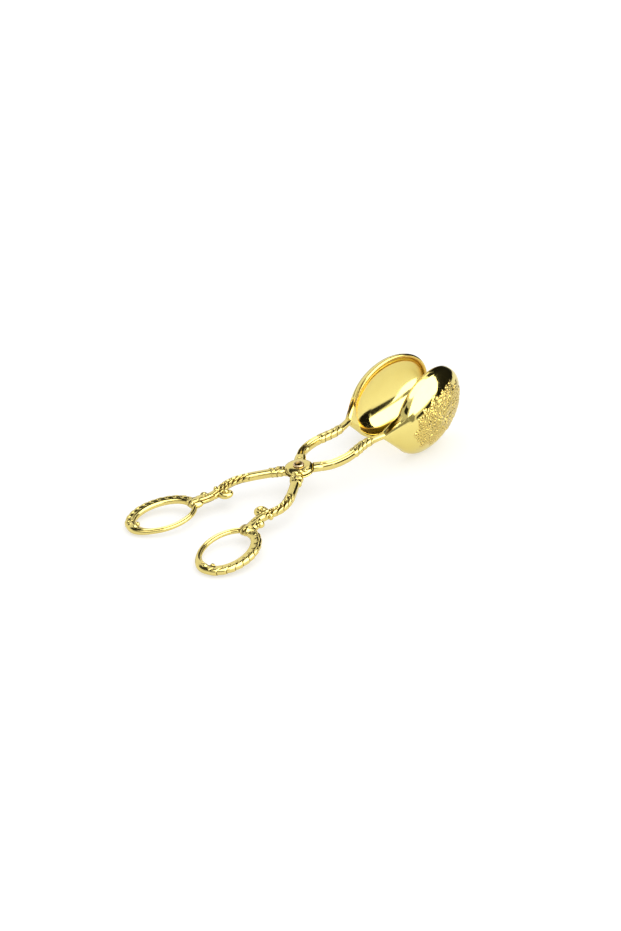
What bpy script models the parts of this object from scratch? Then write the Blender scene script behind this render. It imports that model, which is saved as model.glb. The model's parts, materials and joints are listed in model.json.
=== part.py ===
"""Scissor salad tongs: two cast arms with finger rings, a spoon bowl on each, and a tubular rivet.

The tongs are drawn flat first: the pivot is the origin, +X runs towards the bowls, +Y is the far
side and +Z comes out of the arms' plane. The lower arm goes from the far ring to the near bowl,
and the upper arm is the same casting turned over. The whole drawing is then tilted until the ring
tips and the bowls' lower edges both rest on the table, which is the plane Z = 0.
"""

import math

import bmesh
import bpy
from mathutils import Matrix, Vector

MM = 0.001
UP = Vector((0.0, 0.0, 1.0))

# Pivot: two lapped discs, a washer between them and a tubular rivet through all
FIT_GAP = 0.3 * MM
DISC_RADIUS = 9.2 * MM
DISC_EDGE_ROUNDING = 0.5 * MM
LAP_THICKNESS = 2.3 * MM
WASHER_RADIUS = 6.0 * MM
WASHER_THICKNESS = 0.4 * MM
RIVET_RADIUS = 2.0 * MM
RIVET_HOLLOW_RADIUS = 1.2 * MM
RIVET_HEAD_RADIUS = 3.4 * MM
RIVET_HEAD_HEIGHT = 0.9 * MM
BURR_RADIUS = 4.6 * MM
BURR_THICKNESS = 0.5 * MM

# Finger ring: an oval of round wire, thicker and leafy on the side away from the other arm
RING_CENTRE = Vector((-85.9, 28.7, 0.0)) * MM
RING_HALF_LENGTH = 19.9 * MM
RING_HALF_WIDTH = 14.3 * MM
RING_TURN = math.radians(-14.0)
RING_WIRE_RADIUS = 1.65 * MM
RING_LEAF_RADIUS = 2.5 * MM
RING_LEAF_RELIEF = 0.5 * MM
RING_LEAVES = 6
RING_KNOT_RADIUS = 3.0 * MM
RING_KNOT_ANGLE = math.radians(8.0)
RING_NECK_ANGLE = math.radians(184.0)

# Arm: the middle line of the lower arm from its ring to its tip, in mm, and the bar's radius
NECK_LINE = ((-61.0, 22.9), (-54.5, 20.5))
SHANK_LINE = ((-47.0, 21.0), (-39.0, 22.7), (-29.0, 20.2), (-15.0, 11.4), (0.0, 0.0),
              (10.0, -8.6), (17.0, -13.0), (27.0, -14.9), (36.0, -14.2))
TIP_LINE = ((45.0, -12.8), (54.0, -13.6))
NECK_RADIUS = 2.6 * MM
SHANK_RADIUS = 2.9 * MM
TIP_RADIUS = 2.4 * MM

# Scroll at the shank's end, which curls from the arm's middle line towards the other arm
SCROLL_PLACE = 3.0
SCROLL_REACH = 6.2 * MM
SCROLL_TURNS = 0.95
SCROLL_END_REACH = 1.5 * MM
SCROLL_WIRE_RADIUS = 1.7 * MM
SCROLL_WIRE_TIP_RADIUS = 1.2 * MM
SCROLL_EYE_RADIUS = 1.9 * MM

# Leaf curls and knobs: place on the middle line, counted in its points, and side (1 is the left)
CURL_RADIUS = 1.6 * MM
CURL_SEAT = 0.6 * MM
CURLS = ((2.0, 1), (4.6, 1), (5.4, 1), (6.2, 1), (8.4, -1), (9.7, -1), (11.2, -1), (11.8, -1))

# Bowl: an oval shell with a round bead along its rim, deepest nearer the neck than the tip
BOWL_NECK = Vector((69.9, 18.8, -6.4)) * MM
BOWL_LENGTH = 66.1 * MM
BOWL_HALF_WIDTH = 25.5 * MM
BOWL_DEPTH = 14.2 * MM
BOWL_DEEPEST = 28.0 * MM
BOWL_TOE_IN = math.radians(5.4)
BOWL_PITCH = math.radians(11.5)
BOWL_LEAN = math.radians(2.4)
BOWL_WALL = 1.2 * MM
BEAD_RADIUS = 1.3 * MM
ARM_TIP = Vector((62.0, 15.8, 0.0)) * MM

# Heel: a web from the arm's tip to a loop round the neck, up the bowl's back and down its bead
HEEL_LOW = math.radians(-58.0)
HEEL_HIGH = math.radians(40.0)
HEEL_REACH = 0.8
HEEL_BAY_SHAPE = 1.5
HEEL_BACK_LIFT = 0.3 * MM
HEEL_BEAD_SPREAD = 0.6 * MM
HEEL_BEAD_DEPTH = -0.5 * MM
MOUTH_CLEARANCE = 12.0 * MM

# Flats where the ring tips and the bowls' lower edges stand on the table, and the tilt's search
FLAT_DEPTH = 0.25 * MM
STEEPEST_TILT = math.radians(40.0)
TILT_HALVINGS = 50

# Fineness of the round shapes
BAR_BEVEL_STEPS = 2
EDGE_STEPS = 2
LINE_STEPS = 4
RING_SEGMENTS = 48
SCROLL_SEGMENTS = 14
HEEL_SEATS = 12
BALL_SEGMENTS = 10
BOWL_SEGMENTS = 40
BOWL_BANDS = 7
BEAD_STEPS = 7
ROUND_SEGMENTS = 32
ROLL_STEPS = 5

# Heights of the pivot's stack above the arms' plane
LAP_INNER = WASHER_THICKNESS / 2 + FIT_GAP
LAP_OUTER = LAP_INNER + LAP_THICKNESS
HEAD_UNDERSIDE = LAP_OUTER + FIT_GAP
TAIL_UPPERSIDE = HEAD_UNDERSIDE + BURR_THICKNESS + FIT_GAP
BORE_RADIUS = RIVET_RADIUS + FIT_GAP


def clear_scene():
    """Start from an empty scene."""
    for thing in list(bpy.data.objects):
        bpy.data.objects.remove(thing, do_unlink=True)


def polished_metal(name, colour, roughness):
    """A polished metal of the given colour."""
    material = bpy.data.materials.new(name)
    material.use_nodes = True
    shader = material.node_tree.nodes["Principled BSDF"]
    shader.inputs["Base Color"].default_value = (*colour, 1.0)
    shader.inputs["Roughness"].default_value = roughness
    shader.inputs["Metallic"].default_value = 1.0
    return material


def add_object(name, mesh):
    """Put a mesh in the scene under a name."""
    thing = bpy.data.objects.new(name, mesh)
    bpy.context.scene.collection.objects.link(thing)
    return thing


def finished_mesh(thing):
    """The mesh that an object's curve or modifiers give; the object itself goes."""
    bpy.context.view_layer.update()
    shape = thing.evaluated_get(bpy.context.evaluated_depsgraph_get())
    mesh = bpy.data.meshes.new_from_object(shape)
    bpy.data.objects.remove(thing, do_unlink=True)
    return mesh


def combined(mesh, tools, operation="UNION"):
    """Join other meshes to this one, or cut them out of it, one after another."""
    for tool_mesh in tools:
        body = add_object("body", mesh)
        tool = add_object("tool", tool_mesh)
        boolean = body.modifiers.new("boolean", "BOOLEAN")
        boolean.solver = "EXACT"
        boolean.operation = operation
        boolean.object = tool
        mesh = finished_mesh(body)
        bpy.data.objects.remove(tool, do_unlink=True)
    return mesh


def to_mesh(shape):
    """Turn a bmesh into a mesh with its faces pointing out."""
    bmesh.ops.recalc_face_normals(shape, faces=shape.faces)
    if shape.calc_volume(signed=True) < 0.0:
        bmesh.ops.reverse_faces(shape, faces=shape.faces)
    mesh = bpy.data.meshes.new("shape")
    shape.to_mesh(mesh)
    shape.free()
    return mesh


def mirrored(mesh):
    """The same mesh for the other side of the tongs."""
    copy = mesh.copy()
    copy.transform(Matrix.Diagonal((1, -1, 1, 1)))
    copy.flip_normals()
    return copy


def smooth_line(knots, place):
    """A point on the smooth line through the knots; a whole number is a knot's own place."""
    last = len(knots) - 1
    first = max(0, min(last - 1, math.floor(place)))
    t = place - first
    before, start, end, after = (knots[max(0, min(last, first + k))] for k in (-1, 0, 1, 2))
    return (start + (end - before) * (t / 2)
            + (before * 2 - start * 5 + end * 4 - after) * (t * t / 2)
            + (start * 3 - before - end * 3 + after) * (t * t * t / 2))


def bar(points, radii, closed=False):
    """A round bar along the points, with its own radius at each of them."""
    curve = bpy.data.curves.new("bar", "CURVE")
    curve.dimensions = "3D"
    curve.bevel_depth = 1.0
    curve.bevel_resolution = BAR_BEVEL_STEPS
    curve.use_fill_caps = True
    spline = curve.splines.new("POLY")
    spline.points.add(len(points) - 1)
    for knot, point, radius in zip(spline.points, points, radii):
        knot.co = (*point, 1.0)
        knot.radius = radius
    spline.use_cyclic_u = closed
    return finished_mesh(add_object("bar", curve))


def ball(centre, radius):
    """A small ball."""
    shape = bmesh.new()
    bmesh.ops.create_uvsphere(shape, u_segments=BALL_SEGMENTS, v_segments=BALL_SEGMENTS // 2 + 1,
                              radius=radius, matrix=Matrix.Translation(centre))
    return to_mesh(shape)


def disc(radius, low, high, rounding=0.0):
    """An upright round block about the pivot, with its edges chamfered."""
    shape = bmesh.new()
    place = Matrix.Translation((0.0, 0.0, (low + high) / 2))
    bmesh.ops.create_cone(shape, cap_ends=True, segments=ROUND_SEGMENTS, radius1=radius,
                          radius2=radius, depth=high - low, matrix=place)
    if rounding:
        caps = [face for face in shape.faces if len(face.verts) == ROUND_SEGMENTS]
        rims = [edge for face in caps for edge in face.edges]
        bmesh.ops.bevel(shape, geom=rims, offset=rounding, segments=EDGE_STEPS, affect="EDGES")
    return to_mesh(shape)


def turned(section):
    """A solid turned about the pivot's axis from its section, a loop of (radius, height)."""
    shape = bmesh.new()
    loops = []
    for i in range(ROUND_SEGMENTS):
        turn = 2 * math.pi * i / ROUND_SEGMENTS
        loops.append([shape.verts.new((r * math.cos(turn), r * math.sin(turn), z)) for r, z in section])
    for loop, following in zip(loops, loops[1:] + loops[:1]):
        for a in range(len(section)):
            b = (a + 1) % len(section)
            shape.faces.new((loop[a], loop[b], following[b], following[a]))
    return to_mesh(shape)


def on_ring(angle):
    """The ring's middle line, from its tip (angle 0) round its outer side to the neck (pi)."""
    along = -RING_HALF_LENGTH * math.cos(angle)
    across = RING_HALF_WIDTH * math.sin(angle)
    return RING_CENTRE + Matrix.Rotation(RING_TURN, 3, "Z") @ Vector((along, across, 0.0))


def ring_radius(angle):
    """Plain wire on the inner side, leaves that swell and end sharply on the outer side."""
    leafy = math.sqrt(max(0.0, math.sin(angle)))
    leaf = (angle * RING_LEAVES / math.pi) % 1.0
    swell = RING_LEAF_RADIUS - RING_WIRE_RADIUS + RING_LEAF_RELIEF * (leaf - 0.5)
    return RING_WIRE_RADIUS + leafy * swell


def finger_ring():
    """The oval finger ring with its leaves, and the knot at its tip."""
    angles = [2 * math.pi * i / RING_SEGMENTS for i in range(RING_SEGMENTS)]
    wire = bar([on_ring(a) for a in angles], [ring_radius(a) for a in angles], closed=True)
    return [wire, ball(on_ring(RING_KNOT_ANGLE), RING_KNOT_RADIUS)]


def arm_knots():
    """The arm's middle line: it starts on the ring and ends at the bowl's heel."""
    knots = [Vector((x, y, 0.0)) * MM for x, y in NECK_LINE + SHANK_LINE + TIP_LINE]
    return [on_ring(RING_NECK_ANGLE)] + knots + [Vector((ARM_TIP.x, -ARM_TIP.y, 0.0))]


def arm_radius(place):
    """The bar's radius at a place on the middle line."""
    first_shank = 1 + len(NECK_LINE)
    last_shank = first_shank + len(SHANK_LINE) - 1
    last = last_shank + len(TIP_LINE) + 1
    if place <= first_shank:
        share = place / first_shank
        return NECK_RADIUS + (SHANK_RADIUS - NECK_RADIUS) * share * share
    share = max(0.0, (place - last_shank) / (last - last_shank))
    return SHANK_RADIUS + (TIP_RADIUS - SHANK_RADIUS) * share


def arm_side(place):
    """The direction to the left of the arm's middle line."""
    knots = arm_knots()
    step = 0.01
    ahead = smooth_line(knots, place + step) - smooth_line(knots, place - step)
    return Vector((-ahead.y, ahead.x, 0.0)).normalized()


def arm_bar():
    """The S-shaped bar from the ring through the pivot to the tip."""
    knots = arm_knots()
    places = [i / LINE_STEPS for i in range((len(knots) - 1) * LINE_STEPS + 1)]
    return bar([smooth_line(knots, p) for p in places], [arm_radius(p) for p in places])


def scroll():
    """The C-scroll that curls from the shank's end towards the other arm."""
    start = smooth_line(arm_knots(), SCROLL_PLACE)
    outward = arm_side(SCROLL_PLACE)
    centre = start - outward * SCROLL_REACH
    first = math.atan2(outward.y, outward.x)
    points = []
    radii = []
    for i in range(SCROLL_SEGMENTS + 1):
        share = i / SCROLL_SEGMENTS
        turn = first + share * SCROLL_TURNS * 2 * math.pi
        reach = SCROLL_REACH ** (1 - share) * SCROLL_END_REACH ** share
        points.append(centre + Vector((math.cos(turn), math.sin(turn), 0.0)) * reach)
        radii.append(SCROLL_WIRE_RADIUS + share * (SCROLL_WIRE_TIP_RADIUS - SCROLL_WIRE_RADIUS))
    return [bar(points, radii), ball(points[-1], SCROLL_EYE_RADIUS)]


def curls():
    """The leaf curls and knobs that stand out at the arm's sides."""
    knots = arm_knots()
    shapes = []
    for place, side in CURLS:
        centre = smooth_line(knots, place) + arm_side(place) * side * (arm_radius(place) - CURL_SEAT)
        shapes.append(ball(centre, CURL_RADIUS))
    return shapes


def arm_mesh():
    """The lower arm: everything joined, then cut for the other arm's disc and for the rivet."""
    plate = disc(DISC_RADIUS, -LAP_OUTER, -LAP_INNER, DISC_EDGE_ROUNDING)
    mesh = combined(arm_bar(), finger_ring() + scroll() + curls() + [plate])
    far = 4 * SHANK_RADIUS
    lap = disc(DISC_RADIUS + FIT_GAP, -LAP_INNER, far)
    bore = disc(BORE_RADIUS, -far, far)
    underside = disc(DISC_RADIUS, -far, -LAP_OUTER)
    return combined(mesh, [lap, underside, bore], "DIFFERENCE")


def bowl_axes():
    """The far bowl's own axes: along it, up its width and out of its back."""
    out = Vector((math.sin(BOWL_TOE_IN), math.cos(BOWL_TOE_IN), 0.0))
    pitch = Matrix.Rotation(-BOWL_PITCH, 3, out)
    along = pitch @ Vector((math.cos(BOWL_TOE_IN), -math.sin(BOWL_TOE_IN), 0.0))
    lean = Matrix.Rotation(-BOWL_LEAN, 3, along)
    return along, lean @ pitch @ UP, lean @ out


def wall_normal(u):
    """The wall's outward direction: how far it spreads and how far it goes back."""
    mean_half = (BOWL_LENGTH / 2 + BOWL_HALF_WIDTH) / 2
    return Vector((math.sin(u) / mean_half, math.cos(u) / BOWL_DEPTH)).normalized()


def bowl_section():
    """The wall's section from the middle of the inside, round the bead, to the middle of the back.

    Each entry is the reach (0 in the middle, 1 at the rim), then a distance outwards and a depth.
    """
    seat = math.asin(BOWL_WALL / 2 / BEAD_RADIUS)
    end = math.acos(BEAD_RADIUS * math.cos(seat) / BOWL_DEPTH)
    inside = []
    back = []
    for i in range(BOWL_BANDS + 1):
        u = end * i / BOWL_BANDS
        normal = wall_normal(u)
        for side, wall in ((inside, -BOWL_WALL / 2), (back, BOWL_WALL / 2)):
            side.append((math.sin(u), normal.x * wall, BOWL_DEPTH * math.cos(u) + normal.y * wall))
    bead = []
    for i in range(1, BEAD_STEPS):
        turn = seat + (2 * math.pi - 2 * seat) * i / BEAD_STEPS
        bead.append((1.0, -BEAD_RADIUS * math.sin(turn), BEAD_RADIUS * math.cos(turn)))
    return inside + bead + back[::-1]


def bowl_point(angle, reach, spread, depth):
    """A point of the far bowl; angle 0 is the side of its neck."""
    along, up, out = bowl_axes()
    half = BOWL_LENGTH / 2
    middle = half + (BOWL_DEEPEST - half) * (1 - reach)
    length = middle - (half * reach + spread) * math.cos(angle)
    height = (BOWL_HALF_WIDTH * reach + spread) * math.sin(angle)
    return BOWL_NECK + along * length + up * height + out * depth


def bowl_skin(section):
    """A closed skin laid round the bowl from its section, which starts and ends in the middle."""
    shape = bmesh.new()
    angles = [2 * math.pi * i / BOWL_SEGMENTS for i in range(BOWL_SEGMENTS)]
    loops = [[shape.verts.new(bowl_point(angle, *entry)) for angle in angles] for entry in section[1:-1]]
    for loop, following in zip(loops, loops[1:]):
        for a in range(BOWL_SEGMENTS):
            b = (a + 1) % BOWL_SEGMENTS
            shape.faces.new((loop[a], loop[b], following[b], following[a]))
    for entry, loop in ((section[0], loops[0]), (section[-1], loops[-1])):
        middle = shape.verts.new(bowl_point(0.0, *entry))
        for a in range(BOWL_SEGMENTS):
            shape.faces.new((middle, loop[a], loop[(a + 1) % BOWL_SEGMENTS]))
    return to_mesh(shape)


def wall_point(angle, reach, lift):
    """A point of the far bowl's wall, lifted off its middle towards the back."""
    u = math.asin(reach)
    normal = wall_normal(u)
    return bowl_point(angle, reach, normal.x * lift, BOWL_DEPTH * math.cos(u) + normal.y * lift)


def bowl_hollow():
    """The space inside the bowl, as far as the middle of its wall, and the space before its mouth."""
    section = []
    for i in range(BOWL_BANDS + 1):
        u = math.pi / 2 * i / BOWL_BANDS
        section.append((math.sin(u), 0.0, BOWL_DEPTH * math.cos(u)))
    return bowl_skin(section + [(1.0, 0.0, -MOUTH_CLEARANCE), (0.0, 0.0, -MOUTH_CLEARANCE)])


def heel():
    """The bowl's heel: it starts one gap past the arm's tip and spreads round the bowl's neck."""
    knots = arm_knots()
    ahead = (knots[-1] - knots[-2]).normalized()
    ahead.y = -ahead.y
    outward = Vector((-ahead.y, ahead.x, 0.0))
    centre = ARM_TIP + ahead * FIT_GAP
    shape = bmesh.new()
    for i in range(BALL_SEGMENTS):
        turn = 2 * math.pi * i / BALL_SEGMENTS
        shape.verts.new(centre + (outward * math.cos(turn) + UP * math.sin(turn)) * TIP_RADIUS)
    for i in range(HEEL_SEATS + 1):
        across = math.pi * (i / HEEL_SEATS - 0.5)
        angle = (HEEL_HIGH + HEEL_LOW) / 2 + (HEEL_HIGH - HEEL_LOW) / 2 * math.sin(across)
        reach = 1 - (1 - HEEL_REACH) * abs(math.cos(across)) ** HEEL_BAY_SHAPE
        shape.verts.new(wall_point(angle, reach, HEEL_BACK_LIFT))
        shape.verts.new(bowl_point(angle, 1.0, HEEL_BEAD_SPREAD, HEEL_BEAD_DEPTH))
    bmesh.ops.convex_hull(shape, input=shape.verts)
    inner = [vert for vert in shape.verts if not vert.link_faces]
    bmesh.ops.delete(shape, geom=inner, context="VERTS")
    return combined(to_mesh(shape), [bowl_hollow()], "DIFFERENCE")


def bowl_mesh():
    """The far bowl with its heel."""
    return combined(bowl_skin(bowl_section()), [heel()])


def rivet_mesh():
    """The tubular rivet: a hollow shank with a rolled head above and a rolled tail below."""
    top = HEAD_UNDERSIDE + RIVET_HEAD_HEIGHT
    bottom = -TAIL_UPPERSIDE - RIVET_HEAD_HEIGHT
    lip = (RIVET_HEAD_RADIUS - RIVET_HOLLOW_RADIUS) / 2
    roll_middle = RIVET_HOLLOW_RADIUS + lip
    section = []
    for height, underside in ((bottom, -TAIL_UPPERSIDE), (top, HEAD_UNDERSIDE)):
        rolled = [(RIVET_RADIUS, underside), (RIVET_HEAD_RADIUS, underside)]
        for i in range(1, ROLL_STEPS):
            turn = math.pi * i / ROLL_STEPS
            rolled.append((roll_middle + lip * math.cos(turn),
                           underside + (height - underside) * math.sin(turn)))
        rolled.append((RIVET_HOLLOW_RADIUS, underside))
        section += rolled if underside > 0 else rolled[::-1]
    return turned(section)


def washer_mesh(outer, low, high):
    """A flat washer round the rivet."""
    return turned([(BORE_RADIUS, low), (outer, low), (outer, high), (BORE_RADIUS, high)])


def lowest(points, tilt):
    """The lowest height that the points have once the drawing is tilted, bowls up."""
    return min(math.sin(tilt) * x + math.cos(tilt) * z for x, z in points)


def resting_tilt(ring_points, bowl_points):
    """The tilt at which the ring tips and the bowls' lower edges are equally low."""
    low = 0.0
    high = STEEPEST_TILT
    for _ in range(TILT_HALVINGS):
        tilt = (low + high) / 2
        if lowest(bowl_points, tilt) < lowest(ring_points, tilt):
            low = tilt
        else:
            high = tilt
    return tilt


def side_points(mesh):
    """The mesh's points in side view."""
    return [(vert.co.x, vert.co.z) for vert in mesh.vertices]


def table_block(place):
    """Everything below the table, in the drawing's own frame."""
    reach = 2 * (BOWL_NECK.x + BOWL_LENGTH)
    shape = bmesh.new()
    bmesh.ops.create_cube(shape, size=2 * reach, matrix=Matrix.Translation((0.0, 0.0, -reach)))
    bmesh.ops.transform(shape, matrix=place.inverted(), verts=shape.verts)
    return to_mesh(shape)


def build():
    """Make every piece, tilt the drawing on to the table and name the pieces."""
    clear_scene()
    gold = polished_metal("polished_gold_plate", (0.88, 0.72, 0.22), 0.12)
    rose = polished_metal("rosy_rivet_brass", (0.80, 0.52, 0.24), 0.2)
    lower_arm = arm_mesh()
    upper_arm = lower_arm.copy()
    upper_arm.transform(Matrix.Rotation(math.pi, 4, "X"))
    upper_bowl = bowl_mesh()
    lower_bowl = mirrored(upper_bowl)

    tilt = resting_tilt(side_points(lower_arm) + side_points(upper_arm), side_points(upper_bowl))
    turn = Matrix.Rotation(-tilt, 4, "Y")
    height = -lowest(side_points(upper_bowl), tilt) - FLAT_DEPTH
    across = [(turn @ vert.co).x for mesh in (lower_arm, upper_bowl) for vert in mesh.vertices]
    middle = (min(across) + max(across)) / 2
    place = Matrix.Translation((-middle, 0.0, height)) @ turn

    standing = {"lower_arm": lower_arm, "upper_arm": upper_arm,
                "lower_bowl": lower_bowl, "upper_bowl": upper_bowl}
    pieces = {}
    for name, mesh in standing.items():
        pieces[name] = combined(mesh, [table_block(place)], "DIFFERENCE")
    pieces["pivot_rivet"] = rivet_mesh()
    pieces["pivot_washer"] = washer_mesh(WASHER_RADIUS, -WASHER_THICKNESS / 2, WASHER_THICKNESS / 2)
    pieces["rivet_burr"] = washer_mesh(BURR_RADIUS, FIT_GAP - TAIL_UPPERSIDE, -HEAD_UNDERSIDE)

    pivot = bpy.data.objects.new("pivot_axis", None)
    pivot.matrix_world = place
    bpy.context.scene.collection.objects.link(pivot)
    for name, mesh in pieces.items():
        mesh.materials.clear()
        mesh.materials.append((rose if name == "pivot_rivet" else gold).copy())
        mesh.shade_smooth()
        mesh.set_sharp_from_angle(angle=math.radians(35.0))
        add_object(name, mesh).parent = pivot


build()
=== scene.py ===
# %% [markdown]
# # Salad tongs in polished gold
# These are scissor tongs: two cast arms cross at a hollow rivet, and each arm carries a large spoon
# bowl. The imported CAD model gives the plain solids, their places and the hinge. Here each visible
# solid gets a detailed piece that stands for it in the same place. The first cell loads that model
# as a fixed frame.

# %% Load the frame
import json
import math

import bpy
import numpy as np
from mathutils import Matrix, Vector


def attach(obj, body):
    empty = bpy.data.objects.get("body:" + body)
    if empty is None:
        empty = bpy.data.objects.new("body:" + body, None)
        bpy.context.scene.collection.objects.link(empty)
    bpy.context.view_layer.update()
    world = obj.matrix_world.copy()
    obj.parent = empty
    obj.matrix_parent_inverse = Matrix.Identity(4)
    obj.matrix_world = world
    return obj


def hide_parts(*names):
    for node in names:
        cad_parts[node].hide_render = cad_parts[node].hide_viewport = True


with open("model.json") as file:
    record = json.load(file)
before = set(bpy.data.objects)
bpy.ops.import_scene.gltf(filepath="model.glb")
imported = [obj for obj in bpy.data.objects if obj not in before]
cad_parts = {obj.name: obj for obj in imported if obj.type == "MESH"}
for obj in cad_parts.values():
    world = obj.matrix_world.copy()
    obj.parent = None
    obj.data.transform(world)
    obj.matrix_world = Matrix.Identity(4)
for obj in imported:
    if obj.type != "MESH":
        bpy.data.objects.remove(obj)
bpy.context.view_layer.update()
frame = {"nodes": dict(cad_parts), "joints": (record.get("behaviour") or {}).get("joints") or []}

MM = 0.001

# %% [markdown]
# ## The drawing board
# The arms lie in one plane, which is tipped so that the bowls are lifted and the ring tips rest on
# the table. It is easier to model on that plane as if it were flat, in mm: the pivot is the origin,
# +X runs to the bowls, +Y is the far side and +Z comes out of the plane. The hinge in the record
# gives the plane's place and slope, and one matrix then lays each finished piece into the world, in
# metres.

# %% Find the arms' plane from the hinge
hinge = frame["joints"][0]
pivot_place = Vector(hinge["pos_m"])
far_side = Vector((0.0, 1.0, 0.0))
plane_up = Vector(hinge["axis"]).normalized()
plane_along = far_side.cross(plane_up).normalized()
board = (Matrix.Translation(pivot_place)
         @ Matrix((plane_along, far_side, plane_up)).transposed().to_4x4())
slope = math.degrees(math.asin(plane_along.z))
print("the plane rises", round(slope, 2), "degrees towards the bowls")

# %% [markdown]
# ## The camera
# A product photographer stands the camera behind the rings and to the near side, looking down on
# the tongs. The photograph is 621 by 931 pixels. Its direction, distance and lens were found by
# laying the arms' plane over the picture, so they are numbers here and nothing has to be guessed by
# eye. The picture is upright, so Blender's sensor size counts along its height.

# %% Place the camera
FRAME_HEIGHT = 931
SENSOR = 36.0
CAMERA_TURN = math.radians(45.07)
CAMERA_DIP = math.radians(26.99)
CAMERA_ROLL = math.radians(-0.27)
CAMERA_DISTANCE = 0.8
FOCAL_PIXELS = 1296.0
PIVOT_ASIDE = -0.008873
PIVOT_ABOVE = -0.002585

forward = Vector((math.cos(CAMERA_TURN) * math.cos(CAMERA_DIP),
                  math.sin(CAMERA_TURN) * math.cos(CAMERA_DIP), -math.sin(CAMERA_DIP)))
level = Vector((math.sin(CAMERA_TURN), -math.cos(CAMERA_TURN), 0.0))
rightward = level * math.cos(CAMERA_ROLL) + level.cross(forward) * math.sin(CAMERA_ROLL)
upward = rightward.cross(forward)
towards_pivot = forward + rightward * PIVOT_ASIDE + upward * PIVOT_ABOVE
camera = bpy.data.objects.new("camera", bpy.data.cameras.new("camera"))
bpy.context.scene.collection.objects.link(camera)
camera.data.sensor_width = SENSOR
camera.data.lens = FOCAL_PIXELS * SENSOR / FRAME_HEIGHT
camera.matrix_world = (Matrix.Translation(pivot_place - towards_pivot * CAMERA_DISTANCE)
                       @ Matrix((rightward, upward, -forward)).transposed().to_4x4())
bpy.context.scene.camera = camera
print("camera at", tuple(round(v, 3) for v in camera.location), "lens", round(camera.data.lens, 2))

# %% [markdown]
# ## Writing materials as sums
# A procedural material is a small network of nodes, and most of those nodes do arithmetic. Wiring
# arithmetic by hand hides what it says, so a socket is wrapped in a class here, and Python's own
# plus, minus and times add the Math nodes. Every other node comes from one method, which takes the
# node's type, its settings and the values or links of its sockets.

# %% A socket that understands arithmetic
class Value:
    """One output socket of a node tree, which can be added, subtracted and multiplied."""

    def __init__(self, tree, socket):
        self.tree = tree
        self.socket = socket

    def math(self, operation, other):
        return add_node(self.tree, "ShaderNodeMath", {"operation": operation}, {0: self, 1: other})

    def __add__(self, other):
        return self.math("ADD", other)

    def __sub__(self, other):
        return self.math("SUBTRACT", other)

    def __mul__(self, other):
        return self.math("MULTIPLY", other)

    def __rsub__(self, other):
        return add_node(self.tree, "ShaderNodeMath", {"operation": "SUBTRACT"}, {0: other, 1: self})

    __radd__ = __add__
    __rmul__ = __mul__


def add_node(tree, kind, settings, sockets, out=0):
    """Add a node: its settings first, then its sockets' values or links; gives its output."""
    node = tree.nodes.new(kind)
    for name, value in settings.items():
        setattr(node, name, value)
    for name, value in sockets.items():
        if isinstance(value, Value):
            tree.links.new(value.socket, node.inputs[name])
        else:
            node.inputs[name].default_value = value
    return Value(tree, node.outputs[out])


print("a Value adds Math nodes, and add_node any other")

# %% [markdown]
# ## Helpers for every finish
# Each finish starts as a Principled shader. Two colours are blended by a share between 0 and 1. The
# white things round the tongs, which are the table, the room and the cards, glow as strongly as a
# number or a sum says, and that sum can ask which kind of ray is looking.

# %% Start, blend and glow
WHITE = (1.0, 1.0, 1.0, 1.0)


def new_material(name):
    """A material with its tree and its Principled shader."""
    material = bpy.data.materials.new(name)
    material.use_nodes = True
    return material, material.node_tree, material.node_tree.nodes["Principled BSDF"]


def mix_colours(tree, share, first, second):
    """Mix two colours, each a socket or three numbers."""
    sockets = {0: share}
    for slot, colour in ((6, first), (7, second)):
        sockets[slot] = colour if isinstance(colour, Value) else (*colour, 1.0)
    return add_node(tree, "ShaderNodeMix", {"data_type": "RGBA"}, sockets, out=2)


def white_glow(tree, strength):
    """A shader that glows white."""
    return add_node(tree, "ShaderNodeEmission", {}, {"Color": WHITE, "Strength": strength})


def for_rays(tree, kind):
    """1 for rays of one kind, such as Is Camera Ray, and 0 for all others."""
    return add_node(tree, "ShaderNodeLightPath", {}, {}, out=kind)


print("ready: new_material, mix_colours, white_glow and for_rays")

# %% [markdown]
# ## The gold
# The tongs are plated in a pale yellow gold and polished. Seen in a white studio the plate shows
# its own colour, and where it mirrors itself the colour is multiplied and turns orange, so one base
# colour is enough for both. What keeps it from looking like plastic is slight unevenness: a cloudy
# variation of the colour and the roughness. Recesses are duller, and their colour has painted shade
# in it; on the bowls the groove, the bead and the fold by the heel also get painted orange and
# black reflection. Each mesh says how much in an attribute: up to 1 the gold turns to its painted
# shade colour, and from 1 to 2 that turns to painted black. The castings' small forms also get
# painted shade where they shade each other.

# %% Mix the gold
GOLD = (0.871, 0.735, 0.24)
GOLD_DEEP = (0.80, 0.62, 0.15)
CAST_GOLD = (0.84, 0.70, 0.24)
CAST_GOLD_DEEP = (0.74, 0.55, 0.14)
RIVET_ROSE = (0.80, 0.60, 0.36)
RIVET_ROSE_DEEP = (0.62, 0.40, 0.20)
# Colours of painted light: orange painted reflection and shade for the bowls, dark brown painted
# shade, and near-black painted shade and reflection.
GOLD_PAINTED_REFLECTION_AND_SHADE = (0.66, 0.40, 0.07)
GOLD_PAINTED_SHADE = (0.16, 0.10, 0.02)
BLACK_PAINTED_SHADE_AND_REFLECTION = (0.05, 0.03, 0.0)
CLOUD_SCALE = 140.0
SHADE_REACH = 0.003


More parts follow.
